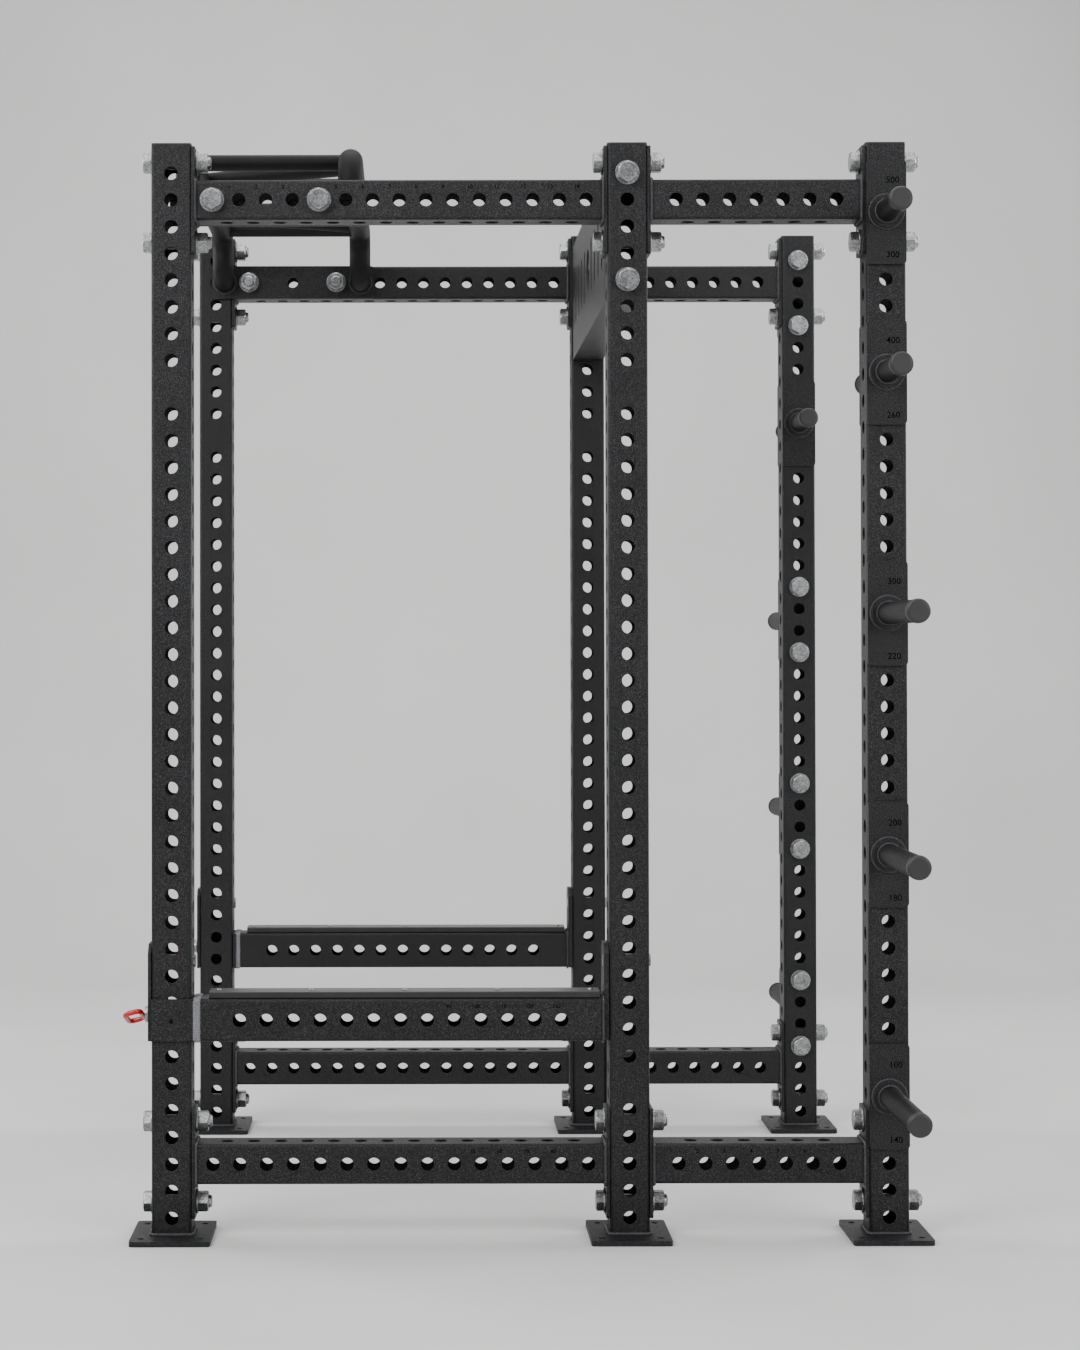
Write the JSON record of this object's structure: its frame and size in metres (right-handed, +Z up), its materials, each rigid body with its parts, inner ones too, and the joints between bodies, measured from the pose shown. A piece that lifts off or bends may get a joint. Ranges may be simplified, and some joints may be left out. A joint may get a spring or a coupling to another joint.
{
  "type": "power cage",
  "caption": "Bolted power cage of perforated square uprights and side beams, with a raised pull-up bar, sign crossmember, storage pegs and flip-up safety arms.",
  "frame": {"origin": "centre of the bounding box at floor level", "axes": "+X to the right across the cage, -Y towards the front (pull-up bar end), +Y towards the storage pegs, +Z up"},
  "size_m": [1.8846, 1.529, 2.1008],
  "materials": {
    "powder_black": "satin",
    "powder_black_fine": "matte",
    "plastic_black": "matte",
    "zinc_steel": "satin",
    "red_gloss": "gloss"
  },
  "bodies": {
    "rack": {"upright_front_right": "powder_black", "upright_front_left": "powder_black", "upright_mid_right": "powder_black", "upright_mid_left": "powder_black", "upright_rear_right": "powder_black", "upright_rear_left": "powder_black", "foot_front_right": "powder_black", "foot_front_left": "powder_black", "foot_mid_right": "powder_black", "foot_mid_left": "powder_black", "foot_rear_right": "powder_black", "foot_rear_left": "powder_black", "beam_top_front_right": "powder_black", "beam_top_front_left": "powder_black", "beam_bottom_front_right": "powder_black", "beam_bottom_front_left": "powder_black", "beam_top_rear_right": "powder_black", "beam_top_rear_left": "powder_black", "beam_bottom_rear_right": "powder_black", "beam_bottom_rear_left": "powder_black", "flange_plates_top_right": "powder_black", "flange_plates_top_left": "powder_black", "flange_plates_bottom_right": "powder_black", "flange_plates_bottom_left": "powder_black", "pullup_brackets": "powder_black", "crossmember": "powder_black", "crossmember_end_plates": "powder_black", "storage_plates_right": "powder_black", "storage_plates_left": "powder_black", "pullup_tubes": "powder_black_fine", "pullup_grips_straight": "powder_black_fine", "pullup_grips_angled": "powder_black_fine", "storage_pegs_right": "powder_black_fine", "storage_pegs_left": "powder_black_fine", "upright_caps": "plastic_black", "storage_caps": "plastic_black", "flange_bolts_right": "zinc_steel", "flange_bolts_left": "zinc_steel", "flange_nuts_right": "zinc_steel", "flange_nuts_left": "zinc_steel", "flange_washers": "zinc_steel", "accessory_bolts": "zinc_steel", "accessory_nuts": "zinc_steel", "accessory_washers": "zinc_steel"},
    "arm_right": {"safety_arm_right": "powder_black", "safety_collar_right": "powder_black", "safety_plates_right": "powder_black", "safety_pegs_right": "zinc_steel", "safety_liner_right": "plastic_black"},
    "arm_left": {"safety_arm_left": "powder_black", "safety_collar_left": "powder_black", "safety_plates_left": "powder_black", "safety_pegs_left": "zinc_steel", "safety_liner_left": "plastic_black"},
    "pin_right": {"lock_pin_right": "zinc_steel", "lock_handle_right": "red_gloss"},
    "pin_left": {"lock_pin_left": "zinc_steel", "lock_handle_left": "red_gloss"}
  },
  "joints": [
    {"name": "arm_right_flip", "type": "hinge", "parent": "rack", "child": "arm_right", "pos_m": [0.5842, -0.25, 0.5239], "axis": [0, -1, 0], "range_deg": [0, 90]},
    {"name": "arm_left_flip", "type": "hinge", "parent": "rack", "child": "arm_left", "pos_m": [-0.5842, -0.25, 0.5239], "axis": [0, 1, 0], "range_deg": [0, 90]},
    {"name": "pin_right_pull", "type": "slide", "parent": "arm_right", "child": "pin_right", "axis": [0, -1, 0], "range_m": [0, 0.045]},
    {"name": "pin_left_pull", "type": "slide", "parent": "arm_left", "child": "pin_left", "axis": [0, -1, 0], "range_m": [0, 0.045]}
  ],
  "couplings": [
    {"joint": "pin_right_pull", "follows": "arm_right_flip", "m_per_rad": 0.0286},
    {"joint": "pin_left_pull", "follows": "arm_left_flip", "m_per_rad": 0.0286}
  ]
}
